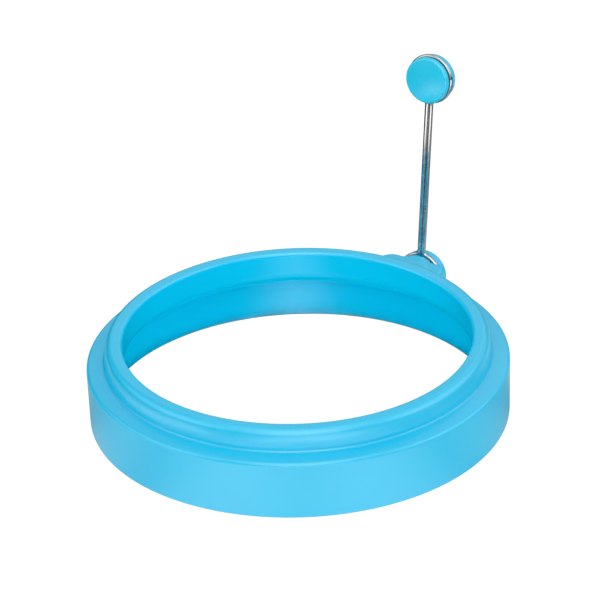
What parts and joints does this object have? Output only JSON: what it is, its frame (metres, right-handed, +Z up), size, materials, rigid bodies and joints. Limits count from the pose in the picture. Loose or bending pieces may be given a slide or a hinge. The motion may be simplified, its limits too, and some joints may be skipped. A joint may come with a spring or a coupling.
{
  "type": "egg ring",
  "caption": "Round silicone egg ring with a stepped wall and a bent wire handle with a silicone knob, which turns down sideways on a lug.",
  "frame": {"origin": "middle of the footprint of the whole object, on the surface that it stands on; the ring's own axis is 9.1 mm from it towards -Y", "axes": "+Z up; +Y from the ring towards the lug and the handle; +X across, to the right as seen from the ring's axis facing the handle"},
  "size_m": [0.1, 0.1183, 0.0655],
  "materials": {
    "silicone_ring": "satin sky-blue silicone",
    "steel_wire": "polished stainless steel",
    "silicone_knob": "satin sky-blue silicone"
  },
  "bodies": {
    "ring_body": {"ring": "silicone_ring"},
    "handle": {"wire_handle": "steel_wire", "knob": "silicone_knob"}
  },
  "joints": [
    {"name": "handle_turn", "type": "hinge", "parent": "ring_body", "child": "handle", "pos_m": [0, 0.0494, 0.0082], "axis": [0, 0.9914, -0.1305], "range_deg": [-90, 90]}
  ]
}
